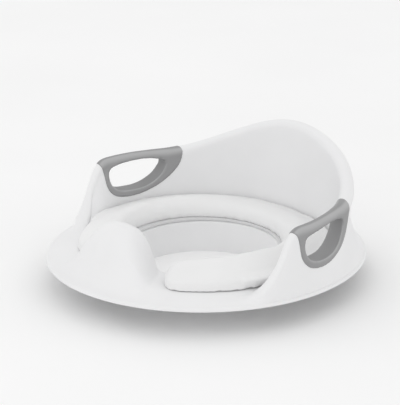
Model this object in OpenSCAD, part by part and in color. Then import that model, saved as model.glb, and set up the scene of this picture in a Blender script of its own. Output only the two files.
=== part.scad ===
// Child's potty training seat that sits on a toilet seat.
// The moulded shell has a round flange, a scooped backrest, two arms that
// hold the handle grips, a splash guard at the front and a skirt that hangs
// inside the toilet seat. A soft horseshoe cushion lies on a clip-in plate.
// +Z is up, -Y is the front, and the skirt stands on the ground at Z 0.
// All sizes are in millimetres and all angles in degrees.
// Angles round the seat start at the middle of the back.

/* [Flange] */
// Width of the flange over both sides
seat_w = 324; // [310:1:350]
// Reach of the flange in front of its widest line
front_l = 165; // [158:1:185]
// Reach of the flange behind its widest line
back_l = 178; // [170:1:200]
// Thickness of the flange at its edge
flange_t = 3; // [2.5:0.1:4]

/* [Opening] */
// Width of the seat surface on each side of the opening
side_band = 55; // [52:0.5:62]
// Width of the seat surface behind the opening
back_band = 44.5; // [40:0.5:50]
// Width of the seat surface in front of the opening
front_band = 38; // [34:0.5:42]
// Height of the seat surface above the flange's underside
deck_h = 7; // [6:0.5:9]
// How far the skirt hangs below the flange
skirt_h = 27; // [18:1:32]

/* [Backrest and arms] */
// Height of the backrest above the flange's underside
back_h = 116; // [105:1:130]
// Height of the arms above the flange's underside
arm_h = 71; // [67:1:75]
// Distance from the flange's edge in to the rolled edge
rim_set = 17; // [16:0.5:19]
// Half width of the rolled edge along the backrest
roll_r = 7.3; // [6.8:0.1:8]
// Wall thickness of the moulding
wall_t = 2.8; // [2.4:0.1:3.2]

/* [Splash guard] */
// Height of the splash guard above the seat surface
guard_h = 51; // [35:1:58]
// Half width of the splash guard's rear edge
guard_half_w = 37; // [32:1:40]

/* [Handles] */
// How far the grip stands out from the moulding
grip_proud = 0.8; // [0.4:0.1:1.2]

/* [Cushion] */
// Height of the cushion above its plate
cushion_h = 20; // [14:1:24]
// Angle from the back at which each cushion end lies
cushion_end = 151.5; // [142:0.5:153]
// Thickness of the clip-in plate
plate_t = 3; // [2:0.2:4]

/* [Fixings] */
// Diameter of the plate's pegs
peg_d = 8; // [6:0.5:10]
// Gap round each peg in its hole
peg_gap = 0.2; // [0.1:0.05:0.4]
// Length of each non-slip pad
pad_len = 26; // [18:1:30]

/* [Hidden] */

// Rolled edge along the arms and the backrest
rim_reach = seat_w / 2 - rim_set;
roll_h = 8;
arm_slope = 0.06;
arm_from = 80;
back_span = 67;
fall_at = 91.5;
fall_span = 12.8;
fall_power = 4.2;
foot_h = 5;
back_in = 8;
back_in_span = 36;
shoulder_out = 2;
shoulder_at = 46;
shoulder_span = 37;
tip_out = 5;
tip_at = 97;
tip_span = 32;
foot_out = 5.5;
foot_at = 113.5;
foot_span = 18;
bar_in = 1.5;
bar_at = 81;
bar_span = 25;
foot_in = 2.6;
foot_from = 88;
foot_soft = 10;
foot_soft_h = 38;
// Seat surface, opening, skirt and outer face
wall_foot = 5.7;
deck_in = 10;
deck_in_span = 60;
deck_reach = rim_reach - roll_r - wall_foot;
open_side = deck_reach - side_band;
open_back = deck_reach - deck_in - back_band;
open_front = deck_reach - front_band;
hem_w = 3;
edge_round = 0.6;
edge_drop = 0.8;
edge_low = 2;
skirt_draft = 2;
skirt_bend = 6;
rim_r = 2.5;
side_swell = 0.7;
back_hollow = 6;
hollow_from = 72;
hollow_span = 30;
hollow_low = 2;
hollow_full = 21;
wall_low = 0.5;
wall_full = 11;
mound_swell = 0.6;
inner_bow = 0.75;
lean_from = 50;
lean_span = 25;
arm_lean = 0.8;
toe_from = 88;
toe_span = 16;
inner_rise = 1.6;
outer_bow = 1.5;
outer_fall = 1.25;
edge_min_h = 0.3;
mound_share = 0.8;
// Splash guard
guard_from = open_front - 34;
guard_top_y = open_front + 17;
guard_front = 47;
guard_rear = 15;
guard_rear_drop = 0.12;
guard_spread = 0.75;
guard_edge_y = open_front + 1;
guard_fade_out = front_l - 7;
guard_fade = 30;
guard_min_half = 20;
guard_rear_power = 2.2;
guard_front_power = 1.9;
guard_tail = 0.25;
guard_tail_w = 30;
// Turn of the grip's own direction away from the seat's width
grip_turn = 6;
// How far the cutting blocks reach inside and outside the arms
grip_reach_in = 60;
grip_reach_out = 55;
hole_extra = 10;
// Cushion and plate
soft_gap = 0.3;
seat_gap = 0.2;
lip_out = 0.5;
lip_set = 2;
cushion_edge = 0.8;
plate_in = 5;
cushion_in = 0.5;
cushion_side = 4;
// The cushion's crest lies near its inner edge, and from there it slopes out
crest_at = 0.25;
crest_bow = 1.1;
crest_drop = 0.72;
crest_side = 0.92;
end_span = 9;
end_flat = 4;
end_low = 2;
end_min = 0.02;
rebate_min = 2.5;
plate_end_in = 6;
// Angles past the plate's end: the cushion's underside, its rebate and the plate's corner
end_under = 1;
end_gap = 0.4;
end_corner = 1.2;
end_steps = [0, 0.4, 1.4, 3];
swell_u = [0, 0.03, 0.1, 0.2, 0.4, 0.6, 0.8, 0.92, 0.98, 1];
peg_len = 6.5;
peg_angles = [18, 75, 128];
// Non-slip pads
pad_w = 6;
pad_set = 5.5;
pad_in = 1;
pad_out = 1;
pad_front_a = 150;
pad_back_a = 27;

// Smooth step from 0 to 1
function ease(t) = let (u = min(1, max(0, t))) u * u * (3 - 2 * u);
// Bell of half width w, 1 in its middle
function bell(x, w) = 0.5 + 0.5 * cos(180 * min(1, abs(x) / w));
// Straight blend between two values
function mix(a, b, t) = a + (b - a) * t;
// The angle from the back, the same on both sides
function fold(a) = a > 180 ? 360 - a : a;
// Distance from the centre to an oval with its own back and front reach
function oval(a, side, back, front) =
    let (reach = cos(a) >= 0 ? back : front)
    1 / sqrt(pow(sin(a) / side, 2) + pow(cos(a) / reach, 2));

function open_r(a) = oval(a, open_side, open_back, open_front);
function flange_r(a) = oval(a, seat_w / 2, back_l, front_l);
// Radius at which the seat surface ends and the wall starts
function deck_r(a) = deck_reach - deck_in * bell(fold(a), deck_in_span);
// Radius, half width and height of the rolled edge
function ridge_r(a) = let (h = fold(a)) rim_reach - back_in * bell(h, back_in_span)
    + shoulder_out * bell(h - shoulder_at, shoulder_span)
    + tip_out * bell(h - tip_at, tip_span) + foot_out * bell(h - foot_at, foot_span);
function ridge_w(a) = let (h = fold(a)) roll_r - bar_in * bell(h - bar_at, bar_span)
    - foot_in * ease((h - foot_from) / foot_span);
function ridge_z(a) = let (h = fold(a),
    arm = arm_h - arm_slope * max(0, h - arm_from),
    top = arm + (back_h - arm_h) * bell(h, back_span))
    foot_h + (top - foot_h) / (1 + pow(max(0, h - fall_at) / fall_span, fall_power));

// Height that the splash guard adds at a point of the seat
function guard_z(x, y) =
    let (d = -y,
         half = max(guard_min_half, guard_half_w + guard_spread * (d - guard_edge_y)),
         power = mix(guard_rear_power, guard_front_power, ease((d - guard_edge_y) / guard_fade)),
         crest = 0.5 + 0.5 * cos(180 * pow(min(1, abs(x) / half), power)),
         across = mix(crest, bell(x, half + guard_tail_w), guard_tail),
         along = d < guard_top_y
             ? max(0, 1 - guard_rear_drop * pow((guard_top_y - d) / guard_rear, 2))
             : bell(d - guard_top_y, guard_front),
         edge = ease((guard_fade_out - norm([x, y])) / guard_fade))
    d < guard_from ? 0 : guard_h * across * along * edge;

// Stations along one section, from the skirt out to the flange
inner_t = [0.1, 0.22, 0.36, 0.52, 0.7, 0.86, 1];
roll_a = [150, 120, 90, 60, 30, 0];
outer_t = [0.15, 0.3, 0.45, 0.6, 0.75, 0.88, 1];

// Upper section of the arm or backrest at angle a: [radius, height] pairs
// from the seat surface over the rolled edge to the flange
function wall_line(a, grow) =
    let (h = fold(a),
         r_deck = deck_r(a),
         r_edge = flange_r(a) - hem_w,
         rz = ridge_z(a),
         rr = ridge_r(a),
         rw = ridge_w(a),
         rw_in = rw + foot_soft * (1 - ease((rz - deck_h) / foot_soft_h)),
         full = ease((rz - deck_h - hollow_low) / hollow_full),
         tall = ease((rz - foot_h - wall_low) / wall_full),
         rise = min(roll_h, max(edge_min_h, mound_share * (rz - deck_h))),
         z_roll = rz - rise,
         hollow = full * mix(-side_swell, back_hollow, ease((hollow_from - h) / hollow_span)),
         side = ease((h - lean_from) / lean_span),
         power = mix(arm_lean, inner_rise, ease((h - toe_from) / toe_span)),
         inner = [for (t = inner_t)
             let (lean = mix(pow(sin(90 * t), inner_bow), pow(t, power), side))
             [mix(r_deck, rr - rw_in, lean), mix(deck_h, z_roll, pow(t, inner_rise)), -grow, 0]],
         roll = [for (b = roll_a) [rr + (b > 90 ? rw_in : rw) * cos(b), z_roll + rise * sin(b),
                                   grow * cos(b), grow * sin(b)]],
         outer = [for (t = outer_t) [mix(rr + rw, r_edge, pow(t, outer_bow))
                                     - hollow * sin(180 * pow(t, inner_bow)),
                                     mix(z_roll, flange_t, 1 - pow(1 - t, outer_fall)), grow, 0]],
         wall = concat(inner, roll, outer),
         last = len(wall))
    [for (i = [0:last - 1])
        let (t = (i + 1) / last,
             flat_r = mix(r_deck, r_edge, t),
             flat_z = mix(flange_t, deck_h, pow(1 - t, inner_rise) * (1 + mound_swell * t)))
        [mix(flat_r, wall[i][0], tall) + wall[i][2],
         mix(flat_z, wall[i][1], tall) + wall[i][3]]];

// Whole upper section of the shell as [radius, height, share of the guard]
function top_line(a) =
    let (ro = open_r(a), rd = deck_r(a), rf = flange_r(a), bend = rim_r * (1 - cos(45)))
    concat([[ro - skirt_draft, -skirt_h, 0],
            [ro - skirt_draft / 2, -skirt_bend, 0],
            [ro, deck_h - rim_r, 1],
            [ro + bend, deck_h - bend, 1],
            [ro + rim_r, deck_h, 1]],
           [for (t = [0.25, 0.5, 0.75, 1]) [mix(ro + rim_r, rd, t), deck_h, 1]],
           [for (p = wall_line(a, 0)) [p[0], p[1], 1]],
           [[rf - edge_round, flange_t - edge_drop, 1], [rf, flange_t - edge_low, 0], [rf, 0, 0]]);

function place(a, p) =
    let (x = p[0] * sin(a), y = p[0] * cos(a))
    [x, y, p[1] + (p[2] == 0 ? 0 : p[2] * guard_z(x, y))];

// Angles of the sections, closer together where the shape turns fast
half_angles = concat([for (a = [0:7:84]) a], [90, 94, 97], [for (a = [99:1.5:108]) a],
                     [110, 112.5, 115.5, 119, 123, 128, 134, 141, 147],
                     [for (a = [151:2.9:178]) a], [180]);
angles = concat(half_angles, [for (i = [len(half_angles) - 2:-1:1]) 360 - half_angles[i]]);

top_grid = [for (a = angles) [for (p = top_line(a)) place(a, p)]];
top_n = len(top_grid[0]);
ring_n = len(angles);

// Point below the upper surface, one wall thickness in
function under(i, k) =
    let (p = top_grid[i][k],
         along = top_grid[(i + 1) % ring_n][k] - top_grid[(i + ring_n - 1) % ring_n][k],
         over = top_grid[i][min(top_n - 1, k + 1)] - top_grid[i][max(0, k - 1)],
         n = cross(along, over),
         q = p - n * wall_t / norm(n))
    k == 0 ? [q[0], q[1], -skirt_h]
    : k >= sole_k ? [p[0], p[1], 0]
    : k > 4 ? [q[0], q[1], max(0, q[2])] : q;

// Stations of the underside, from the flange back to the skirt
sole_k = top_n - 5;
under_k = [28, 27, 25, 24, 22, 21, 20, 18, 17, 16, 15, 13, 12, 11, 10, 8, 6, 4, 2, 1, 0];
shell_rings = [for (i = [0:ring_n - 1])
    concat(top_grid[i], [for (k = under_k) under(i, k)])];

// Closed skin over rings of points that each run round the section
function flat_list(rings) = [for (r = rings) for (p = r) p];
function skin(n, m) = [for (i = [0:n - 1]) for (k = [0:m - 1])
    let (j = (i + 1) % n, l = (k + 1) % m)
    each [[i * m + k, i * m + l, j * m + l], [i * m + k, j * m + l, j * m + k]]];
function strip(n, m) = [for (i = [0:n - 2]) for (k = [0:m - 1])
    let (l = (k + 1) % m)
    each [[i * m + k, i * m + l, (i + 1) * m + l], [i * m + k, (i + 1) * m + l, (i + 1) * m + k]]];
function caps(n, m) = [[for (k = [m - 1:-1:0]) k], [for (k = [0:m - 1]) (n - 1) * m + k]];

// Brings a piece from the flange plane to its place above the ground
module lift_up() {
    translate([0, (front_l - back_l) / 2, skirt_h]) children();
}

// Outline of a grip and of its finger hole, square to the arm, below the arm's top
grip_line = [[-40, 0], [-36.8, -4.6], [-34.6, -9], [-33, -16], [-32, -23.5], [-30.2, -31],
             [-26.2, -37.5], [-19.5, -42.6], [-11, -45.4], [-1.5, -46.4], [8.5, -46], [17, -44.4],
             [25, -41.9], [33, -38.6], [41, -34], [49, -27.7], [55, -21.2], [58.7, -15.5],
             [60.8, -9.3], [62, -3], [62.5, 12], [-40, 12]];
hole_line = [[-21.6, -32], [-16, -36.2], [-8, -38.6], [1, -39.4], [10, -39.2], [19, -37.6],
             [27, -34.3], [34.3, -29.4], [39.4, -23.6], [42.8, -17.5], [43.6, -13.2], [41, -10.6],
             [34, -8.8], [27, -7.6], [19, -7.2], [10.5, -7.4], [1.5, -8], [-9, -9], [-17, -10.2],
             [-22.8, -12.2], [-25.4, -15.8], [-25.9, -20.5], [-24.6, -26.8]];

module through_arm(from, to) {
    rotate([0, 0, grip_turn]) rotate([90, 0, 90])
        translate([0, arm_h, from]) linear_extrude(to - from) children();
}

module grip_block() {
    through_arm(rim_reach - grip_reach_in, rim_reach + grip_reach_out) polygon(grip_line);
}

module hole_block() {
    through_arm(rim_reach - grip_reach_in - hole_extra, rim_reach + grip_reach_out + hole_extra)
        polygon(hole_line);
}

module shell_body() {
    polyhedron(flat_list(shell_rings), skin(ring_n, len(shell_rings[0])));
}

// Solid form of one arm, which a grip is cut from
module arm_solid() {
    arc = [for (a = [48:5:88]) a];
    fine = [for (a = [90:2:112]) a];
    rings = [for (a = concat(arc, fine))
        let (rd = deck_r(a) - grip_proud, rf = flange_r(a))
        [for (p = concat([[rd, 0], [rd, deck_h]], wall_line(a, grip_proud), [[rf, 1], [rf, 0]]))
            [p[0] * sin(a), p[0] * cos(a), p[1]]]];
    polyhedron(flat_list(rings), concat(strip(len(rings), len(rings[0])),
                                        caps(len(rings), len(rings[0]))));
}

module left_grip() {
    color([0.62, 0.62, 0.62]) lift_up() difference() {
        intersection() {
            arm_solid();
            grip_block();
        }
        hole_block();
    }
}

module right_grip() {
    mirror([1, 0, 0]) left_grip();
}

module peg_places() {
    for (side = [-1, 1]) for (a = peg_angles)
        let (r = (open_r(a) + deck_r(a)) / 2)
        translate([side * r * sin(a), r * cos(a), 0]) children();
}

module seat_shell() {
    color([0.96, 0.96, 0.96]) lift_up() difference() {
        shell_body();
        grip_block();
        mirror([1, 0, 0]) grip_block();
        peg_places() translate([0, 0, deck_h - 2 * wall_t])
            cylinder(d = peg_d + 2 * peg_gap, h = 3 * wall_t, $fn = 32);
        for (p = [0:3]) pad_at(p) pad_block(pad_in);
    }
}

// Radii of the plate's and the cushion's edges
function plate_r1(a) = open_r(a) + lip_out;
function plate_r2(a) = cushion_r2(a) - plate_in;
function cushion_r1(a) = open_r(a) + lip_set;
function cushion_r2(a) = deck_r(a) - cushion_in;
plate_end = cushion_end - plate_end_in;
plate_z = deck_h + seat_gap;

// Stations along the horseshoe that the plate and the cushion share
mid_arc = [for (i = [0:20]) mix(cushion_end - end_span, 0, i / 20)];
// The same stations on both sides, from one end to the other
function both(half) = concat([for (a = half) -a], [for (i = [len(half) - 2:-1:0]) half[i]]);

module cushion_plate() {
    color([0.93, 0.93, 0.93]) lift_up() {
        rings = [for (a = both(concat([plate_end, plate_end - end_corner], mid_arc)))
            let (h = abs(a), top = plate_z + plate_t,
                 shrink = plate_in * (1 - ease((plate_end - h) / end_span)),
                 r1 = plate_r1(h) + shrink, r2 = plate_r2(h) - shrink)
            [for (p = [[r1, plate_z], [r1, top], [r2, top], [r2, plate_z]])
                place(a, [p[0], p[1], 1])]];
        polyhedron(flat_list(rings), concat(strip(len(rings), 4), caps(len(rings), 4)));
        peg_places() translate([0, 0, deck_h - peg_len])
            cylinder(d = peg_d, h = peg_len + seat_gap + plate_t / 2, $fn = 32);
    }
}

// Height across the cushion, from 0 at its inner edge over its crest to 0 at its outer edge
function swell(u) = sqrt(1 - pow(1 - min(1, u / crest_at), 2))
    * (1 - crest_drop * pow(max(0, u - crest_at) / (1 - crest_at), crest_bow))
    * sqrt(1 - pow(max(0, u - crest_side) / (1 - crest_side), 2));

// One section of the cushion: flat below with a rebate for the plate, swollen above
function pad_round(r1, r2, r_step, h, step) =
    let (low = plate_t + cushion_side)
    concat([[r1 + cushion_edge, step], [r1, step + cushion_edge]],
           [for (u = swell_u) [mix(r1, r2, u), mix(low, h, swell(u))]],
           [[r2, soft_gap + cushion_edge], [r2 - cushion_edge, soft_gap],
            [r_step, soft_gap], [r_step, step]]);

module seat_cushion() {
    color([0.98, 0.98, 0.98]) lift_up() {
        tip_arc = concat([for (t = end_steps) cushion_end - t],
                         [plate_end + end_under, plate_end + end_gap, plate_end - end_corner]);
        rings = [for (a = both(concat(tip_arc, mid_arc)))
            let (h = abs(a), s = min(1, max(end_min, (cushion_end - h) / end_span)),
                 full = sqrt(1 - pow(1 - s, 2)),
                 shrink = (1 - full) * ((cushion_r2(h) - cushion_r1(h)) / 2 - end_flat),
                 r1 = cushion_r1(h) + shrink, r2 = cushion_r2(h) - shrink,
                 on_plate = h <= plate_end + end_gap,
                 r_step = min(plate_r2(h) + soft_gap, r2 - rebate_min),
                 top = mix(plate_t + cushion_side + end_low, plate_t + cushion_h, full))
            [for (p = pad_round(r1, r2, r_step, top, on_plate ? plate_t + seat_gap : soft_gap))
                place(a, [p[0], deck_h + p[1], 1])]];
        polyhedron(flat_list(rings), concat(strip(len(rings), len(rings[0])),
                                            caps(len(rings), len(rings[0]))));
    }
}

// Non-slip pads in pockets under the flange: 0 and 1 in front, 2 and 3 behind
function pad_angle(i) = (i < 2 ? pad_front_a : pad_back_a) * (i % 2 == 0 ? 1 : -1);

module pad_at(i) {
    a = pad_angle(i);
    r = flange_r(abs(a)) - pad_set;
    translate([r * sin(a), r * cos(a), 0]) rotate([0, 0, -a]) children();
}

module pad_block(top) {
    translate([0, 0, -pad_out]) linear_extrude(pad_out + top) hull() {
        for (s = [-1, 1]) translate([s * (pad_len - pad_w) / 2, 0]) circle(d = pad_w, $fn = 24);
    }
}

module pad(i) {
    color([0.55, 0.55, 0.55]) lift_up() pad_at(i) pad_block(pad_in);
}

seat_shell();
left_grip();
right_grip();
cushion_plate();
seat_cushion();
pad(0);  // pad_front_left
pad(1);  // pad_front_right
pad(2);  // pad_back_left
pad(3);  // pad_back_right
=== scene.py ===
import math

import bmesh
import bpy
import numpy as np
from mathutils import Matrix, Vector


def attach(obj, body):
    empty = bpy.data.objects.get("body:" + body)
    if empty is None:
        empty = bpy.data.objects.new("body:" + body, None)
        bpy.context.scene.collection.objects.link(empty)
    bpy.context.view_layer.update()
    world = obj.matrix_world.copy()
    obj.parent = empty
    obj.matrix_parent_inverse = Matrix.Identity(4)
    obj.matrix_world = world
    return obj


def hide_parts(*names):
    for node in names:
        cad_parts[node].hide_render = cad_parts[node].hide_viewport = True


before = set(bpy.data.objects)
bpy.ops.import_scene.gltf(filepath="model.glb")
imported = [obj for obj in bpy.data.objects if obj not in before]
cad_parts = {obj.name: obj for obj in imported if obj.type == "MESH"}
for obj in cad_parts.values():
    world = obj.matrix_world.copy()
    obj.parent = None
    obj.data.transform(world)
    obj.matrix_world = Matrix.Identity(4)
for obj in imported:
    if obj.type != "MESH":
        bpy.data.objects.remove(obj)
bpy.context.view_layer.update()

# Sizes in millimetres, the same as the part's own
SEAT_W, FRONT_L, BACK_L, FLANGE_T = 324.0, 165.0, 178.0, 3.0
SIDE_BAND, BACK_BAND, FRONT_BAND = 55.0, 44.5, 38.0
DECK_H, SKIRT_H, BACK_H, ARM_H = 7.0, 27.0, 116.0, 71.0
RIM_SET, ROLL_R, ROLL_H, WALL_T = 17.0, 7.3, 8.0, 2.8
GUARD_H, GUARD_HALF_W = 51.0, 37.0
GRIP_PROUD = 0.8
CUSHION_H, CUSHION_END, PLATE_T = 20.0, 151.5, 3.0
PEG_D, PEG_GAP, PEG_LEN, PEG_ANGLES = 8.0, 0.2, 6.5, (18, 75, 128)
PAD_LEN, PAD_W, PAD_SET, PAD_IN, PAD_OUT = 26.0, 6.0, 5.5, 1.0, 1.0
PAD_ANGLES = (150, -150, 27, -27)
RIM_REACH = SEAT_W / 2 - RIM_SET
ARM_SLOPE, ARM_FROM, BACK_SPAN = 0.06, 80, 67
FALL_AT, FALL_SPAN, FALL_POWER, FOOT_H = 91.5, 12.8, 4.2, 5
BACK_IN, BACK_IN_SPAN = 8, 36
SHOULDER_OUT, SHOULDER_AT, SHOULDER_SPAN = 2, 46, 37
TIP_OUT, TIP_AT, TIP_SPAN = 5, 97, 32
FOOT_OUT, FOOT_AT, FOOT_SPAN = 5.5, 113.5, 18
BAR_IN, BAR_AT, BAR_SPAN = 1.5, 81, 25
FOOT_IN, FOOT_FROM, FOOT_SOFT, FOOT_SOFT_H = 2.6, 88, 10, 38
WALL_FOOT, DECK_IN, DECK_IN_SPAN, HEM_W = 5.7, 10, 60, 3
DECK_REACH = RIM_REACH - ROLL_R - WALL_FOOT
OPEN_SIDE = DECK_REACH - SIDE_BAND
OPEN_BACK = DECK_REACH - DECK_IN - BACK_BAND
OPEN_FRONT = DECK_REACH - FRONT_BAND
SKIRT_DRAFT, SKIRT_BEND, RIM_R = 2, 6, 2.5
SIDE_SWELL, BACK_HOLLOW, HOLLOW_FROM, HOLLOW_SPAN = 0.7, 6, 72, 30
HOLLOW_LOW, HOLLOW_FULL, WALL_LOW, WALL_FULL, MOUND_SWELL = 2, 21, 0.5, 11, 0.6
INNER_BOW, INNER_RISE, OUTER_BOW, OUTER_FALL = 0.75, 1.6, 1.5, 1.25
LEAN_FROM, LEAN_SPAN, ARM_LEAN, TOE_FROM, TOE_SPAN = 50, 25, 0.8, 88, 16
EDGE_MIN_H, MOUND_SHARE = 0.3, 0.8
GUARD_FROM, GUARD_TOP_Y, GUARD_FRONT, GUARD_REAR = OPEN_FRONT - 34, OPEN_FRONT + 17, 47, 15
GUARD_REAR_DROP, GUARD_SPREAD, GUARD_EDGE_Y = 0.12, 0.75, OPEN_FRONT + 1
GUARD_FADE_OUT, GUARD_FADE, GUARD_MIN_HALF = FRONT_L - 7, 30, 20
GUARD_REAR_POWER, GUARD_FRONT_POWER, GUARD_TAIL, GUARD_TAIL_W = 2.2, 1.9, 0.25, 30
GRIP_TURN = math.radians(6)
GRIP_REACH_IN, GRIP_REACH_OUT, HOLE_EXTRA = 60, 55, 10
SOFT_GAP, SEAT_GAP, LIP_OUT, LIP_SET, PLATE_IN = 0.3, 0.2, 0.5, 2, 5
CUSHION_IN, CUSHION_SIDE, CUSHION_EDGE = 0.5, 4, 0.8
CREST_AT, CREST_BOW, CREST_DROP, CREST_SIDE = 0.25, 1.1, 0.72, 0.92
END_SPAN, END_FLAT, END_LOW, END_MIN, PLATE_END_IN = 9, 4, 2, 0.02, 6

# Sizes that only the dressed pieces have, in millimetres and degrees
GRIP_FROM, GRIP_TO, GRIP_STEP = 48, 112.5, 0.75
GRIP_VOXEL, GRIP_SMOOTH, HOLE_SMOOTH, HOLE_ROUND = 0.75, 6, 22, 3
PLATE_ROUND, PLATE_BEVEL, PLATE_STATIONS = 0.8, 0.9, 200
# Faces that meet at more than these angles keep a sharp edge
SHELL_SHARP, PLATE_SHARP, NO_SHARP = 38, 40, 180
# Counts of points in a shell section: those of the outer edge, and those flat on the ring
HEM_N, SOLE_N = 6, 4
# The cushion before its cloth run: how far it is drawn in, the heights of its lower outer
# edge, the angles from its end of the close sections there, and the run's own values
CUSHION_INSET, UNDER_OUT_H, UNDER_EDGE_H = 1.2, 2.0, 1.2
END_STEPS = np.array([0, 0.4, 1.4, 3, 5, 7.2])
PAD_STATIONS, ACROSS_STEP = 60, 10
CLOTH_VOXEL, CLOTH_CAP, CLOTH_PRESSURE, CLOTH_FRAMES = 4.5, 3.0, 4, 20
CLOTH_SMOOTH, SETTLED_SMOOTH = 3, 8
# Its outer side hangs over the plate's edge
HANG, HANG_TOP, HANG_FADE, HANG_IN, PLATE_MARGIN = 9, 14, 10, 0.6, 0.3
# Its gathers round each end
GATHER_DEPTH, GATHER_COUNT, GATHER_TOP, GATHER_FADE = 0.5, 34, 15, 9
GATHER_SPAN, GATHER_EASE = END_SPAN * 1.3, 6
GATHER_SWAY, GATHER_WAVES, GATHER_POWER = 1.3, 5, 1.5
# Its lower edge is pressed down, and its outer rim feathers up against the wall
PRESS, PRESS_POWER = 2.6, 2.3
PRESS_OUT, PRESS_OUT_POWER = 7, 3.0
FEATHER, FEATHER_LIFT, FEATHER_END, FEATHER_FADE = 10, 3.4, 128, 24
FEATHER_LOW, FEATHER_RISE, FEATHER_OUT = 2.5, 5, 6
# How many levels, 1 mm apart from the seat surface up, wall_at reads the wall's face at
WALL_LEVELS = 25
# Heights in metres between which a grip's top starts to get its painted highlight
PAINTED_LIT_LOW, PAINTED_LIT_HIGH = 0.098, 0.106
MM = 0.001
SHIFT = np.array([0.0, (FRONT_L - BACK_L) / 2, SKIRT_H])


def ease(t):
    u = np.clip(t, 0, 1)
    return u * u * (3 - 2 * u)


def bell(x, w):
    return 0.5 + 0.5 * np.cos(np.pi * np.minimum(1, np.abs(x) / w))


def mix(a, b, t):
    return a + (b - a) * t


def oval(a, side, back, front):
    """Distance from the centre to an oval at angle a in degrees from the back."""
    s, c = np.sin(np.radians(a)), np.cos(np.radians(a))
    reach = np.where(c >= 0, back, front)
    return 1 / np.sqrt((s / side) ** 2 + (c / reach) ** 2)


def open_r(a):
    return oval(a, OPEN_SIDE, OPEN_BACK, OPEN_FRONT)


def flange_r(a):
    return oval(a, SEAT_W / 2, BACK_L, FRONT_L)


def deck_r(a):
    return DECK_REACH - DECK_IN * bell(np.abs(a), DECK_IN_SPAN)


def ridge_r(a):
    h = np.abs(a)
    return (RIM_REACH - BACK_IN * bell(h, BACK_IN_SPAN)
            + SHOULDER_OUT * bell(h - SHOULDER_AT, SHOULDER_SPAN)
            + TIP_OUT * bell(h - TIP_AT, TIP_SPAN) + FOOT_OUT * bell(h - FOOT_AT, FOOT_SPAN))


def ridge_w(a):
    h = np.abs(a)
    return (ROLL_R - BAR_IN * bell(h - BAR_AT, BAR_SPAN)
            - FOOT_IN * ease((h - FOOT_FROM) / FOOT_SPAN))


def ridge_z(a):
    h = np.abs(a)
    arm = ARM_H - ARM_SLOPE * np.maximum(0, h - ARM_FROM)
    top = arm + (BACK_H - ARM_H) * bell(h, BACK_SPAN)
    return FOOT_H + (top - FOOT_H) / (1 + (np.maximum(0, h - FALL_AT) / FALL_SPAN) ** FALL_POWER)


def guard_z(x, y):
    """Height that the splash guard adds at a point of the seat."""
    d = -y
    half = np.maximum(GUARD_MIN_HALF, GUARD_HALF_W + GUARD_SPREAD * (d - GUARD_EDGE_Y))
    power = mix(GUARD_REAR_POWER, GUARD_FRONT_POWER, ease((d - GUARD_EDGE_Y) / GUARD_FADE))
    crest = 0.5 + 0.5 * np.cos(np.pi * np.minimum(1, np.abs(x) / half) ** power)
    across = mix(crest, bell(x, half + GUARD_TAIL_W), GUARD_TAIL)
    rear = np.maximum(0, 1 - GUARD_REAR_DROP * ((GUARD_TOP_Y - d) / GUARD_REAR) ** 2)
    along = np.where(d < GUARD_TOP_Y, rear, bell(d - GUARD_TOP_Y, GUARD_FRONT))
    edge = ease((GUARD_FADE_OUT - np.hypot(x, y)) / GUARD_FADE)
    return np.where(d < GUARD_FROM, 0, GUARD_H * across * along * edge)


# Fine stations along one section, and their places among the part's coarse ones
T_IN = np.linspace(0, 1, 25)[1:]
B_ROLL = np.linspace(180, 0, 17)[1:]
T_OUT = np.linspace(0, 1, 25)[1:]
K_IN = np.interp(T_IN, [0, 0.1, 0.22, 0.36, 0.52, 0.7, 0.86, 1], np.arange(8))
K_ROLL = np.interp(180 - B_ROLL, np.arange(0, 181, 30), np.arange(7, 14))
K_OUT = np.interp(T_OUT, [0, 0.15, 0.3, 0.45, 0.6, 0.75, 0.88, 1], np.arange(13, 21))
FLAT_T = np.concatenate([K_IN, K_ROLL, K_OUT]) / 20


def wall_line(a, grow):
    """Upper section of the arm or backrest at angle a: radii and heights."""
    h = abs(a)
    r_deck, r_edge = deck_r(a), flange_r(a) - HEM_W
    rz, rr, rw = ridge_z(a), ridge_r(a), ridge_w(a)
    rw_in = rw + FOOT_SOFT * (1 - ease((rz - DECK_H) / FOOT_SOFT_H))
    full = ease((rz - DECK_H - HOLLOW_LOW) / HOLLOW_FULL)
    tall = ease((rz - FOOT_H - WALL_LOW) / WALL_FULL)
    rise = min(ROLL_H, max(EDGE_MIN_H, MOUND_SHARE * (rz - DECK_H)))
    z_roll = rz - rise
    hollow = full * mix(-SIDE_SWELL, BACK_HOLLOW, ease((HOLLOW_FROM - h) / HOLLOW_SPAN))
    power = mix(ARM_LEAN, INNER_RISE, ease((h - TOE_FROM) / TOE_SPAN))
    lean = mix(np.sin(np.pi / 2 * T_IN) ** INNER_BOW, T_IN ** power,
               ease((h - LEAN_FROM) / LEAN_SPAN))
    b = np.radians(B_ROLL)
    r = np.concatenate([mix(r_deck, rr - rw_in, lean),
                        rr + np.where(B_ROLL > 90, rw_in, rw) * np.cos(b),
                        mix(rr + rw, r_edge, T_OUT ** OUTER_BOW)
                        - hollow * np.sin(np.pi * T_OUT ** INNER_BOW)])
    z = np.concatenate([mix(DECK_H, z_roll, T_IN ** INNER_RISE),
                        z_roll + rise * np.sin(b),
                        mix(z_roll, FLANGE_T, 1 - (1 - T_OUT) ** OUTER_FALL)])
    gr = np.concatenate([-np.ones(len(T_IN)), np.cos(b), np.ones(len(T_OUT))]) * grow
    gz = np.concatenate([np.zeros(len(T_IN)), np.sin(b), np.zeros(len(T_OUT))]) * grow
    flat_r = mix(r_deck, r_edge, FLAT_T)
    flat_z = mix(FLANGE_T, DECK_H, (1 - FLAT_T) ** INNER_RISE * (1 + MOUND_SWELL * FLAT_T))
    return mix(flat_r, r, tall) + gr, mix(flat_z, z, tall) + gz


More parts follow.
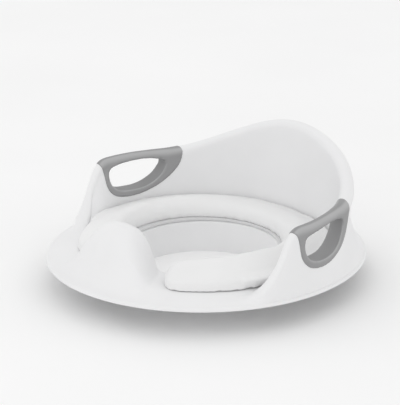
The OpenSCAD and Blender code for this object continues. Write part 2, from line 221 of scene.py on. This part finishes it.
def place(a, r, z, share):
    """Points of a section in the part's frame, with the guard's height added."""
    x, y = r * np.sin(np.radians(a)), r * np.cos(np.radians(a))
    return np.stack([x, y, z + share * guard_z(x, y)], 1)


def top_line(a):
    """Whole upper section: radii, heights and shares of the guard."""
    ro, rd, rf = open_r(a), deck_r(a), flange_r(a)
    skirt = [(ro - SKIRT_DRAFT, -SKIRT_H, 0), (ro - SKIRT_DRAFT + 0.05, -SKIRT_H + 1, 0)]
    skirt += [(mix(ro - SKIRT_DRAFT, ro - SKIRT_DRAFT / 2, t), mix(-SKIRT_H, -SKIRT_BEND, t), 0)
              for t in (0.3, 0.6, 1)]
    skirt += [(mix(ro - SKIRT_DRAFT / 2, ro, t), mix(-SKIRT_BEND, DECK_H - RIM_R, t), t)
              for t in (0.33, 0.67)]
    rim = [(ro + RIM_R * (1 - math.cos(b)), DECK_H - RIM_R * (1 - math.sin(b)), 1)
           for b in np.radians(np.linspace(0, 90, 8))]
    deck = [(mix(ro + RIM_R, rd, t), DECK_H, 1) for t in np.linspace(0, 1, 9)[1:]]
    wr, wz = wall_line(a, 0)
    wall = [(r, z, 1) for r, z in zip(wr, wz)]
    # Rounded outer edge of the flange
    hem = [(rf - 1.6, FLANGE_T - 0.1, 1), (rf - 0.8, FLANGE_T - 0.5, 1),
           (rf - 0.25, FLANGE_T - 1.1, 0.5), (rf, FLANGE_T - 2, 0), (rf, 0.3, 0), (rf - 0.3, 0, 0)]
    return np.array(skirt + rim + deck + wall + hem), len(skirt) + len(rim)


def new_mesh(name, verts, faces):
    me = bpy.data.meshes.new(name)
    me.from_pydata([tuple(v) for v in (verts + SHIFT) * MM], [], faces)
    me.validate()
    ob = bpy.data.objects.new(name, me)
    bpy.context.scene.collection.objects.link(ob)
    return ob


def outward(ob):
    """Turns all faces of a closed mesh to face out."""
    bm = bmesh.new()
    bm.from_mesh(ob.data)
    bmesh.ops.recalc_face_normals(bm, faces=bm.faces)
    bm.to_mesh(ob.data)
    bm.free()


def tube(rings, closed):
    """Vertices and faces of a skin over rings of points."""
    n, m = rings.shape[:2]
    faces = []
    for i in range(n if closed else n - 1):
        j = (i + 1) % n
        for k in range(m):
            q = (k + 1) % m
            faces.append((i * m + k, i * m + q, j * m + q, j * m + k))
    if not closed:
        faces.append(tuple(range(m - 1, -1, -1)))
        faces.append(tuple(range((n - 1) * m, n * m)))
    return rings.reshape(-1, 3), faces


def apply_modifiers(ob):
    deps = bpy.context.evaluated_depsgraph_get()
    me = bpy.data.meshes.new_from_object(ob.evaluated_get(deps))
    old = ob.data
    ob.modifiers.clear()
    ob.data = me
    bpy.data.meshes.remove(old)


def soften(ob, times):
    """Adds a smoothing modifier, not applied yet."""
    soft = ob.modifiers.new("soft", "SMOOTH")
    soft.factor = 0.5
    soft.iterations = times
    return soft


def voxels(ob, size):
    """Adds a voxel remesh of a size in millimetres, not applied yet."""
    remesh = ob.modifiers.new("remesh", "REMESH")
    remesh.mode = "VOXEL"
    remesh.voxel_size = size * MM


def cut(ob, tool, kind):
    """Boolean of a closed mesh with a tool mesh, applied."""
    mod = ob.modifiers.new("cut", "BOOLEAN")
    mod.operation = kind
    mod.solver = "MANIFOLD"
    mod.object = tool
    apply_modifiers(ob)


def drop(*obs):
    for o in obs:
        bpy.data.objects.remove(o)


def shade(ob, angle):
    """Smooth faces with sharp edges above an angle in degrees."""
    me = ob.data
    me.polygons.foreach_set("use_smooth", [True] * len(me.polygons))
    me.set_sharp_from_angle(angle=math.radians(angle))


# Grip and finger hole outlines, square to the arm, below the arm's top
GRIP_LINE = [(-40, 0), (-36.8, -4.6), (-34.6, -9), (-33, -16), (-32, -23.5), (-30.2, -31),
             (-26.2, -37.5), (-19.5, -42.6), (-11, -45.4), (-1.5, -46.4), (8.5, -46), (17, -44.4),
             (25, -41.9), (33, -38.6), (41, -34), (49, -27.7), (55, -21.2), (58.7, -15.5),
             (60.8, -9.3), (62, -3), (62.5, 12), (-40, 12)]
HOLE_LINE = [(-21.6, -32), (-16, -36.2), (-8, -38.6), (1, -39.4), (10, -39.2), (19, -37.6),
             (27, -34.3), (34.3, -29.4), (39.4, -23.6), (42.8, -17.5), (43.6, -13.2), (41, -10.6),
             (34, -8.8), (27, -7.6), (19, -7.2), (10.5, -7.4), (1.5, -8), (-9, -9), (-17, -10.2),
             (-22.8, -12.2), (-25.4, -15.8), (-25.9, -20.5), (-24.6, -26.8)]


def smooth_loop(points, closed, steps):
    """Curve through the points, each stretch cut into steps."""
    p = np.array(points, float)
    n = len(p)
    out = []
    for i in range(n if closed else n - 1):
        a, b = p[i], p[(i + 1) % n]
        before = p[(i - 1) % n] if closed or i > 0 else a
        after = p[(i + 2) % n] if closed or i < n - 2 else b
        for s in range(steps):
            t = s / steps
            out.append(0.5 * (2 * a + (b - before) * t
                              + (2 * before - 5 * a + 4 * b - after) * t ** 2
                              + (3 * a - before - 3 * b + after) * t ** 3))
    if not closed:
        out.append(p[-1])
    return np.array(out)


def arm_prism(name, line, low, high):
    """Prism through an arm with the outline given square to it."""
    rings = []
    for x in (low, high):
        x0 = np.full(len(line), x)
        y0, z0 = line[:, 0], line[:, 1] + ARM_H
        x1 = x0 * math.cos(GRIP_TURN) - y0 * math.sin(GRIP_TURN)
        y1 = x0 * math.sin(GRIP_TURN) + y0 * math.cos(GRIP_TURN)
        rings.append(np.stack([x1, y1, z0], 1))
    ob = new_mesh(name, *tube(np.array(rings), False))
    outward(ob)
    return ob


grip_curve = np.concatenate([smooth_loop(GRIP_LINE[:-2], False, 4),
                             np.array(GRIP_LINE[-2:], float)])
hole_curve = smooth_loop(HOLE_LINE, True, 4)


def mirror_x(ob, name):
    """A copy of ob mirrored to the other side."""
    me = ob.data.copy()
    for v in me.vertices:
        v.co.x = -v.co.x
    me.flip_normals()
    twin = bpy.data.objects.new(name, me)
    bpy.context.scene.collection.objects.link(twin)
    return twin


def cylinder(name, x, y, z0, z1, r, n=48):
    t = np.linspace(0, 2 * np.pi, n, endpoint=False)
    rings = [np.stack([x + r * np.cos(t), y + r * np.sin(t), np.full(n, z)], 1) for z in (z0, z1)]
    ob = new_mesh(name, *tube(np.array(rings), False))
    outward(ob)
    return ob


def peg_spots():
    for side in (-1, 1):
        for a in PEG_ANGLES:
            r = (open_r(a) + deck_r(a)) / 2
            yield side * r * math.sin(math.radians(a)), r * math.cos(math.radians(a))


def pad_tool(a):
    """Stadium-shaped pocket for one pad under the flange."""
    t = np.radians(np.arange(-90, 91, 10))
    right = np.stack([(PAD_LEN - PAD_W) / 2 + PAD_W / 2 * np.cos(t), PAD_W / 2 * np.sin(t)], 1)
    outline = np.concatenate([right, -right])
    r = flange_r(a) - PAD_SET
    c, s = math.cos(math.radians(-a)), math.sin(math.radians(-a))
    x = r * math.sin(math.radians(a)) + outline[:, 0] * c - outline[:, 1] * s
    y = r * math.cos(math.radians(a)) + outline[:, 0] * s + outline[:, 1] * c
    rings = [np.stack([x, y, np.full(len(x), z)], 1) for z in (-PAD_OUT, PAD_IN)]
    ob = new_mesh("pad_tool", *tube(np.array(rings), False))
    outward(ob)
    return ob


# Seat shell
half = np.concatenate([np.arange(0, 92, 1.5), np.arange(92, 126, 0.5), np.arange(126, 180, 1.0)])
ANGLES = np.concatenate([half, [180], 360 - half[:0:-1]])


def make_shell():
    tops, skirt_n = [], 0
    for a in ANGLES:
        line, skirt_n = top_line(a if a <= 180 else a - 360)
        tops.append(place(a, line[:, 0], line[:, 1], line[:, 2]))
    top = np.array(tops)
    along = np.roll(top, -1, 0) - np.roll(top, 1, 0)
    over = np.empty_like(top)
    over[:, 1:-1] = top[:, 2:] - top[:, :-2]
    over[:, 0] = top[:, 1] - top[:, 0]
    over[:, -1] = top[:, -1] - top[:, -2]
    n = np.cross(along, over)
    n /= np.linalg.norm(n, axis=2, keepdims=True)
    under = top - WALL_T * n
    under[:, skirt_n:, 2] = np.maximum(0, under[:, skirt_n:, 2])
    under[:, 0, 2] = -SKIRT_H
    # The wall's last points stand on the toilet seat, so their underside is flat
    wall_end = top.shape[1] - HEM_N
    sole = wall_end - SOLE_N
    under[:, sole:wall_end, :2] = top[:, sole:wall_end, :2]
    under[:, sole:wall_end, 2] = 0
    keep = list(range(wall_end - 1, -1, -1))
    rings = np.concatenate([top, under[:, keep]], 1)
    ob = new_mesh("shell_moulding", *tube(rings, True))
    outward(ob)
    return ob


shell = make_shell()
notch = arm_prism("notch", grip_curve, RIM_REACH - GRIP_REACH_IN, RIM_REACH + GRIP_REACH_OUT)
notch_r = mirror_x(notch, "notch_r")
for tool in (notch, notch_r):
    cut(shell, tool, "DIFFERENCE")
for x, y in peg_spots():
    tool = cylinder("peg_tool", x, y, DECK_H - 2 * WALL_T, DECK_H + WALL_T, PEG_D / 2 + PEG_GAP)
    cut(shell, tool, "DIFFERENCE")
    drop(tool)
for a in PAD_ANGLES:
    tool = pad_tool(a)
    cut(shell, tool, "DIFFERENCE")
    drop(tool)
shade(shell, SHELL_SHARP)


# Grips
def round_hole(ob):
    """Smooths the finger hole's edges more than the grip's own border."""
    co = np.array([v.co for v in ob.data.vertices]) / MM - SHIFT
    y = -co[:, 0] * math.sin(GRIP_TURN) + co[:, 1] * math.cos(GRIP_TURN)
    flat = np.stack([y, co[:, 2] - ARM_H], 1)
    gap = np.full(len(flat), 1e9)
    for p in hole_curve:
        gap = np.minimum(gap, np.hypot(flat[:, 0] - p[0], flat[:, 1] - p[1]))
    group = ob.vertex_groups.new(name="hole")
    for i, w in enumerate(1 - ease((gap - HOLE_ROUND) / HOLE_ROUND)):
        if w > 0:
            group.add([i], float(w), "REPLACE")
    soften(ob, HOLE_SMOOTH).vertex_group = group.name
    apply_modifiers(ob)


def make_grip():
    rings = []
    for a in np.arange(GRIP_FROM, GRIP_TO, GRIP_STEP):
        r, z = wall_line(a, GRIP_PROUD)
        r = np.concatenate([[deck_r(a) - GRIP_PROUD] * 2, r, [flange_r(a)] * 2])
        z = np.concatenate([[0, DECK_H], z, [1, 0]])
        rings.append(place(a, r, z, 0))
    ob = new_mesh("grip_ring_left", *tube(np.array(rings), False))
    outward(ob)
    cut(ob, notch, "INTERSECT")
    hole = arm_prism("hole", hole_curve, RIM_REACH - GRIP_REACH_IN - HOLE_EXTRA,
                     RIM_REACH + GRIP_REACH_OUT + HOLE_EXTRA)
    cut(ob, hole, "DIFFERENCE")
    drop(hole)
    voxels(ob, GRIP_VOXEL)
    soften(ob, GRIP_SMOOTH)
    apply_modifiers(ob)
    round_hole(ob)
    shade(ob, NO_SHARP)
    return ob


grip_left = make_grip()
grip_right = mirror_x(grip_left, "grip_ring_right")
shade(grip_right, NO_SHARP)
drop(notch, notch_r)


# Cushion plate
def plate_r1(a):
    return open_r(a) + LIP_OUT


def cushion_r1(a):
    return open_r(a) + LIP_SET


def cushion_r2(a):
    return deck_r(a) - CUSHION_IN


def plate_r2(a):
    return cushion_r2(a) - PLATE_IN


PLATE_END = CUSHION_END - PLATE_END_IN
PLATE_Z = DECK_H + SEAT_GAP


def make_plate():
    rings = []
    for a in np.linspace(-PLATE_END, PLATE_END, PLATE_STATIONS):
        h = abs(a)
        shrink = PLATE_IN * (1 - ease((PLATE_END - h) / END_SPAN))
        r1, r2 = plate_r1(h) + shrink, plate_r2(h) - shrink
        z0, z1, c = PLATE_Z, PLATE_Z + PLATE_T, PLATE_ROUND
        bend = np.radians(np.arange(0, 91, 15))
        r = np.concatenate([[r1 + PLATE_BEVEL, r1], r1 + c * (1 - np.cos(bend)), [r2, r2]])
        z = np.concatenate([[z0, z0 + PLATE_BEVEL], z1 - c * (1 - np.sin(bend)), [z1, z0]])
        rings.append(place(a, r, z, 1))
    ob = new_mesh("clip_plate", *tube(np.array(rings), False))
    outward(ob)
    for x, y in peg_spots():
        peg = cylinder("peg", x, y, DECK_H - PEG_LEN, PLATE_Z + PLATE_T / 2, PEG_D / 2)
        cut(ob, peg, "UNION")
        drop(peg)
    shade(ob, PLATE_SHARP)
    return ob


plate = make_plate()


# Cushion: a smooth stuffed horseshoe, swollen by a short cloth run
def swell(u):
    """Height across the cushion: 0 at its inner edge, 1 at its crest, 0 at its outer edge."""
    past = np.maximum(0, u - CREST_AT) / (1 - CREST_AT)
    side = np.clip((u - CREST_SIDE) / (1 - CREST_SIDE), 0, 1)
    return (np.sqrt(1 - (1 - np.minimum(1, u / CREST_AT)) ** 2)
            * (1 - CREST_DROP * past ** CREST_BOW) * np.sqrt(1 - side ** 2))


def end_shrink(h):
    """Share of its full form at angle h, and how far each side draws in to round the end."""
    s = np.clip((CUSHION_END - h) / END_SPAN, END_MIN, 1)
    full = np.sqrt(1 - (1 - s) ** 2)
    return full, (1 - full) * ((cushion_r2(h) - cushion_r1(h)) / 2 - END_FLAT)


def make_cushion():
    half_arc = np.concatenate([CUSHION_END - END_STEPS,
                               np.linspace(CUSHION_END - END_SPAN, 0, PAD_STATIONS)])
    arc = np.concatenate([-half_arc, half_arc[-2::-1]])
    rings = []
    for a in arc:
        h = abs(a)
        full, shrink = end_shrink(h)
        r1 = cushion_r1(h) + shrink + CUSHION_INSET
        r2 = cushion_r2(h) - shrink - CUSHION_INSET
        low, base = PLATE_T + CUSHION_SIDE, SEAT_GAP + PLATE_T + SOFT_GAP
        top = mix(low + END_LOW, PLATE_T + CUSHION_H, full) - CUSHION_INSET
        u = (1 - np.cos(np.radians(np.arange(0, 181, ACROSS_STEP)))) / 2
        r = np.concatenate([[r1 + CUSHION_EDGE, r1], mix(r1, r2, u), [r2, r2 - CUSHION_EDGE]])
        z = np.concatenate([[base, base + CUSHION_EDGE], mix(low, top, swell(u)),
                            [UNDER_OUT_H, UNDER_EDGE_H]])
        rings.append(place(a, r, DECK_H + z, 1))
    ob = new_mesh("soft_cushion", *tube(np.array(rings), False))
    outward(ob)
    return ob


def inflate(ob):
    """Remeshes a pad and lets a short cloth run with inner pressure swell it."""
    voxels(ob, CLOTH_VOXEL)
    apply_modifiers(ob)
    start = np.array([v.co for v in ob.data.vertices])
    cloth = ob.modifiers.new("cloth", "CLOTH")
    cloth.settings.use_pressure = True
    cloth.settings.uniform_pressure_force = CLOTH_PRESSURE
    cloth.settings.effector_weights.gravity = 0
    scene = bpy.context.scene
    for f in range(1, CLOTH_FRAMES + 1):
        scene.frame_set(f)
    apply_modifiers(ob)
    scene.frame_set(1)
    end = np.array([v.co for v in ob.data.vertices])
    move = end - start
    size = np.linalg.norm(move, axis=1, keepdims=True)
    end = start + move * np.minimum(1, CLOTH_CAP * MM / np.maximum(size, 1e-9))
    for v, co in zip(ob.data.vertices, end):
        v.co = co
    soften(ob, CLOTH_SMOOTH)
    fine = ob.modifiers.new("fine", "SUBSURF")
    fine.levels = fine.render_levels = 2
    apply_modifiers(ob)


def wall_at(h, z):
    """Radius of the wall's inner face at the angles h and heights z."""
    levels = DECK_H + np.arange(WALL_LEVELS + 1)
    table = []
    for a in range(181):
        wr, wz = wall_line(a, 0)
        n = int(np.argmax(wz)) + 1
        table.append(np.interp(levels, wz[:n], wr[:n]))
    table = np.array(table)
    i = np.clip(h.astype(int), 0, 179)
    u = np.clip(z - DECK_H, 0, WALL_LEVELS - 0.001)
    j, f, g = u.astype(int), u - u.astype(int), h - i
    low = mix(table[i, j], table[i, j + 1], f)
    high = mix(table[i + 1, j], table[i + 1, j + 1], f)
    return mix(low, high, g)


def settle(ob):
    """Rests the cushion on plate, seat surface and walls, and gathers its ends."""
    co = np.array([v.co for v in ob.data.vertices]) / MM - SHIFT
    a = np.degrees(np.arctan2(co[:, 0], co[:, 1]))
    h, r = np.abs(a), np.hypot(co[:, 0], co[:, 1])
    # The outer side hangs straight down over the plate's edge
    edge = cushion_r2(h) - end_shrink(h)[1]
    hang = (ease((r - edge + HANG) / (HANG / 2))
            * np.clip((DECK_H + HANG_TOP - co[:, 2]) / HANG_FADE, 0, 1))
    grow = (r + hang * np.maximum(0, edge - HANG_IN - r)) / np.maximum(r, 1)
    co[:, 0] *= grow
    co[:, 1] *= grow
    r = r * grow
    deck = DECK_H + guard_z(co[:, 0], co[:, 1])
    on_plate = (h < PLATE_END + PLATE_MARGIN) & (r < plate_r2(h) + SOFT_GAP)
    floor = np.where(on_plate, deck + SEAT_GAP + PLATE_T, deck + SOFT_GAP)
    # Gathers round each end, deepest near the bottom seam
    side = np.where(a >= 0, 1.0, -1.0)
    end_a = math.radians(CUSHION_END - END_SPAN)
    mid_r = (cushion_r1(CUSHION_END - END_SPAN) + cushion_r2(CUSHION_END - END_SPAN)) / 2
    cx, cy = side * mid_r * math.sin(end_a), mid_r * math.cos(end_a)
    dx, dy = co[:, 0] - cx, co[:, 1] - cy
    turn = np.arctan2(dy, dx * side)
    out = np.hypot(dx, dy)
    near = ease((h - CUSHION_END + GATHER_SPAN) / GATHER_EASE)
    low = ease((deck + GATHER_TOP - co[:, 2]) / GATHER_FADE)
    sway = GATHER_SWAY * np.sin(turn * GATHER_WAVES)
    rib = (0.5 + 0.5 * np.cos(turn * GATHER_COUNT + sway)) ** GATHER_POWER
    depth = GATHER_DEPTH * near * low * rib
    co[:, 0] -= depth * dx / np.maximum(out, 1)
    co[:, 1] -= depth * dy / np.maximum(out, 1)
    co[:, 2] = np.maximum(co[:, 2], floor)
    # Pressed down along the lower edge
    press = np.where(on_plate, PRESS, PRESS_OUT)
    lift = np.clip((co[:, 2] - floor) / press, 0, 1)
    power = np.where(on_plate, PRESS_POWER, PRESS_OUT_POWER)
    co[:, 2] = np.where(lift < 1, floor + press * lift ** power, co[:, 2])
    # The outer edge feathers up against the wall behind the child
    part = (ease((r - edge + FEATHER) / FEATHER) * ease((FEATHER_END - h) / FEATHER_FADE)
            * np.clip((co[:, 2] - deck - FEATHER_LOW) / FEATHER_RISE, 0, 1))
    co[:, 2] += FEATHER_LIFT * part
    wall = wall_at(h, co[:, 2])
    wider = np.minimum(r + part * np.clip(wall - edge, 0, FEATHER_OUT), wall - SOFT_GAP)
    grow = np.where(part > 0, np.maximum(wider, r) / np.maximum(r, 1), 1)
    co[:, 0] *= grow
    co[:, 1] *= grow
    for v, c in zip(ob.data.vertices, (co + SHIFT) * MM):
        v.co = c


cushion = make_cushion()
inflate(cushion)
settle(cushion)
soften(cushion, SETTLED_SMOOTH)
apply_modifiers(cushion)
shade(cushion, NO_SHARP)


# Materials
def material(name, colour, rough, build):
    m = bpy.data.materials.new(name)
    m.use_nodes = True
    nt = m.node_tree
    bsdf = nt.nodes["Principled BSDF"]
    bsdf.inputs["Base Color"].default_value = (*colour, 1)
    bsdf.inputs["Roughness"].default_value = rough
    coord = nt.nodes.new("ShaderNodeTexCoord")
    build(nt, bsdf, coord.outputs["Object"])
    return m


def noise(nt, vec, scale, detail=2.0, rough=0.5):
    n = nt.nodes.new("ShaderNodeTexNoise")
    n.inputs["Scale"].default_value = scale
    n.inputs["Detail"].default_value = detail
    n.inputs["Roughness"].default_value = rough
    nt.links.new(vec, n.inputs["Vector"])
    return n.outputs["Fac"]


def pale(v, blue=0.0):
    """A grey of brightness v, with this much more blue."""
    return v, v, v + blue


def ramp(nt, fac, low, high, c0, c1):
    n = nt.nodes.new("ShaderNodeValToRGB")
    n.color_ramp.elements[0].position = low
    n.color_ramp.elements[0].color = (*c0, 1)
    n.color_ramp.elements[1].position = high
    n.color_ramp.elements[1].color = (*c1, 1)
    nt.links.new(fac, n.inputs["Fac"])
    return n.outputs["Color"]


def span(nt, fac, low, high):
    n = nt.nodes.new("ShaderNodeMapRange")
    n.inputs["To Min"].default_value = low
    n.inputs["To Max"].default_value = high
    nt.links.new(fac, n.inputs["Value"])
    return n.outputs["Result"]


def bump(nt, bsdf, height, strength, distance, under=None):
    n = nt.nodes.new("ShaderNodeBump")
    n.inputs["Strength"].default_value = strength
    n.inputs["Distance"].default_value = distance
    nt.links.new(height, n.inputs["Height"])
    if under is not None:
        nt.links.new(under, n.inputs["Normal"])
    nt.links.new(n.outputs["Normal"], bsdf.inputs["Normal"])
    return n.outputs["Normal"]


def moulded(c0, c1, r0, r1, grain):
    def build(nt, bsdf, vec):
        cloud = noise(nt, vec, 14, 3)
        nt.links.new(ramp(nt, cloud, 0.35, 0.65, c0, c1), bsdf.inputs["Base Color"])
        nt.links.new(span(nt, noise(nt, vec, 60, 2), r0, r1), bsdf.inputs["Roughness"])
        first = bump(nt, bsdf, noise(nt, vec, 180, 1), 0.06, 0.0004)
        bump(nt, bsdf, noise(nt, vec, grain, 2, 0.6), 0.08, 0.0001, first)
        bsdf.inputs["IOR"].default_value = 1.5
    return build


def math_node(nt, kind, a, b=None):
    n = nt.nodes.new("ShaderNodeMath")
    n.operation = kind
    nt.links.new(a, n.inputs[0])
    if b is not None:
        nt.links.new(b, n.inputs[1])
    return n.outputs["Value"]


def fade(nt, fac, low, high):
    n = nt.nodes.new("ShaderNodeMapRange")
    n.interpolation_type = "SMOOTHSTEP"
    n.inputs["From Min"].default_value = low
    n.inputs["From Max"].default_value = high
    nt.links.new(fac, n.inputs["Value"])
    return n.outputs["Result"]


def soft_touch(nt, bsdf, vec):
    """Grey rubber, painted paler on faces that point up and outward as a painted highlight, and
    left darker in the finger hole as painted shade.
    """
    facing = nt.nodes.new("ShaderNodeSeparateXYZ")
    nt.links.new(nt.nodes.new("ShaderNodeNewGeometry").outputs["Normal"], facing.inputs[0])
    place_at = nt.nodes.new("ShaderNodeSeparateXYZ")
    nt.links.new(vec, place_at.inputs[0])
    # Painted light: faces that point up and outward mix towards the paler grey as a painted
    # highlight, while the finger hole keeps the darker grey as painted shade.
    wide = fade(nt, math_node(nt, "ABSOLUTE", facing.outputs["X"]), 0.2, 0.6)
    high = fade(nt, place_at.outputs["Z"], PAINTED_LIT_LOW, PAINTED_LIT_HIGH)
    painted_light = math_node(nt, "MULTIPLY", fade(nt, facing.outputs["Z"], -0.1, 0.7),
                       math_node(nt, "MAXIMUM", wide, high))
    cloud = noise(nt, vec, 25, 3)
    mix_grey = nt.nodes.new("ShaderNodeMix")
    mix_grey.data_type = "RGBA"
    nt.links.new(painted_light, mix_grey.inputs["Factor"])
    for socket, v, blue in (("A", 0.285, 0.003), ("B", 0.425, 0.004)):
        nt.links.new(ramp(nt, cloud, 0.3, 0.7, pale(v, blue), pale(v + 0.02, blue)),
                     mix_grey.inputs[socket])
    nt.links.new(mix_grey.outputs["Result"], bsdf.inputs["Base Color"])
    nt.links.new(span(nt, noise(nt, vec, 90, 2), 0.52, 0.64), bsdf.inputs["Roughness"])
    bump(nt, bsdf, noise(nt, vec, 2200, 2, 0.6), 0.25, 0.0001)
    bsdf.inputs["IOR"].default_value = 1.46


def soft_skin(nt, bsdf, vec):
    cloud = noise(nt, vec, 18, 3)
    nt.links.new(ramp(nt, cloud, 0.3, 0.7, pale(0.825), pale(0.85)), bsdf.inputs["Base Color"])
    nt.links.new(span(nt, noise(nt, vec, 70, 2), 0.42, 0.54), bsdf.inputs["Roughness"])
    cells = nt.nodes.new("ShaderNodeTexVoronoi")
    cells.feature = "DISTANCE_TO_EDGE"
    cells.inputs["Scale"].default_value = 1100
    nt.links.new(vec, cells.inputs["Vector"])
    first = bump(nt, bsdf, span(nt, cells.outputs["Distance"], 0, 1), 0.1, 0.0002)
    bump(nt, bsdf, noise(nt, vec, 45, 2), 0.12, 0.0012, first)
    bsdf.inputs["Sheen Weight"].default_value = 0.08
    bsdf.inputs["Sheen Roughness"].default_value = 0.4


white = material("white_moulding", pale(0.8), 0.35,
                 moulded(pale(0.83, 0.005), pale(0.855, 0.005), 0.40, 0.50, 1400))
plate_white = material("plate_white", pale(0.72), 0.4,
                       moulded(pale(0.66, 0.005), pale(0.69, 0.005), 0.40, 0.50, 1400))
grey = material("soft_grey", pale(0.27), 0.58, soft_touch)
skin = material("cushion_skin", pale(0.82), 0.48, soft_skin)
pad_grey = material("pad_rubber", pale(0.3), 0.7, soft_touch)


def dress(ob, mat, slot, *nodes):
    ob.data.materials.clear()
    ob.data.materials.append(mat)
    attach(ob, "root")
    if nodes:
        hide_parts(*nodes)


dress(shell, white, "white_shell", "seat_shell")
dress(grip_left, grey, "grey_grip", "left_grip")
dress(grip_right, grey, "grey_grip", "right_grip")
dress(plate, plate_white, "plate", "cushion_plate")
dress(cushion, skin, "cushion", "seat_cushion")
for name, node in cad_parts.items():
    if name.startswith("pad_"):
        for s in node.material_slots:
            s.material = pad_grey


# Floor, light and camera, in metres and watts
FLOOR_HALF, FLOOR_BOUNCE, WORLD_LIGHT = 6.0, 0.93, 0.945
LAMP_AT, LAMP_AIM, LAMP_POWER, LAMP_SIZE = (0.1, -1.7, 1.0), (0, 0, 0.05), 2.5, 1.8
CAMERA_AZ, CAMERA_EL, CAMERA_DIST = math.radians(48.08), math.radians(18.66), 1.548
CAMERA_AIM, CAMERA_SENSOR, CAMERA_FOCUS, FRAME_H = Vector((0, -0.0116, 0.0827)), 36, 1500, 405


def make_floor():
    me = bpy.data.meshes.new("floor")
    s = FLOOR_HALF
    me.from_pydata([(-s, -s, 0), (s, -s, 0), (s, s, 0), (-s, s, 0)], [], [(0, 1, 2, 3)])
    ob = bpy.data.objects.new("floor", me)
    bpy.context.scene.collection.objects.link(ob)
    m = bpy.data.materials.new("pale_floor")
    m.use_nodes = True
    nt = m.node_tree
    bsdf = nt.nodes["Principled BSDF"]
    bsdf.inputs["Roughness"].default_value = 0.9
    coord = nt.nodes.new("ShaderNodeTexCoord")
    cloud = noise(nt, coord.outputs["Object"], 3, 2)
    seen = ramp(nt, cloud, 0.3, 0.7, pale(0.95), pale(0.97))
    path = nt.nodes.new("ShaderNodeLightPath")
    swap = nt.nodes.new("ShaderNodeMix")
    swap.data_type = "RGBA"
    swap.inputs["A"].default_value = (*pale(FLOOR_BOUNCE), 1)
    nt.links.new(path.outputs["Is Camera Ray"], swap.inputs["Factor"])
    nt.links.new(seen, swap.inputs["B"])
    nt.links.new(swap.outputs["Result"], bsdf.inputs["Base Color"])
    me.materials.append(m)


def lamp(name, place_at, look_at, power, size):
    data = bpy.data.lights.new(name, "AREA")
    data.energy = power
    data.shape = "DISK"
    data.size = size
    ob = bpy.data.objects.new(name, data)
    ob.location = place_at
    ob.rotation_euler = (Vector(look_at) - Vector(place_at)).to_track_quat("-Z", "Y").to_euler()
    bpy.context.scene.collection.objects.link(ob)


def make_world(strength):
    world = bpy.data.worlds.new("studio")
    world.use_nodes = True
    bg = world.node_tree.nodes["Background"]
    bg.inputs["Color"].default_value = (1, 1, 1, 1)
    bg.inputs["Strength"].default_value = strength
    bpy.context.scene.world = world


def make_camera():
    flat = math.cos(CAMERA_EL)
    away = Vector((math.sin(CAMERA_AZ) * flat, -math.cos(CAMERA_AZ) * flat, math.sin(CAMERA_EL)))
    data = bpy.data.cameras.new("camera")
    data.sensor_width = CAMERA_SENSOR
    data.lens = CAMERA_SENSOR * CAMERA_FOCUS / FRAME_H
    data.clip_end = 30
    ob = bpy.data.objects.new("camera", data)
    ob.location = CAMERA_AIM + away * CAMERA_DIST
    ob.rotation_euler = (-away).to_track_quat("-Z", "Y").to_euler()
    bpy.context.scene.collection.objects.link(ob)
    bpy.context.scene.camera = ob


make_floor()
make_world(WORLD_LIGHT)
lamp("key", LAMP_AT, LAMP_AIM, LAMP_POWER, LAMP_SIZE)
make_camera()
bpy.context.scene.view_settings.view_transform = "Standard"
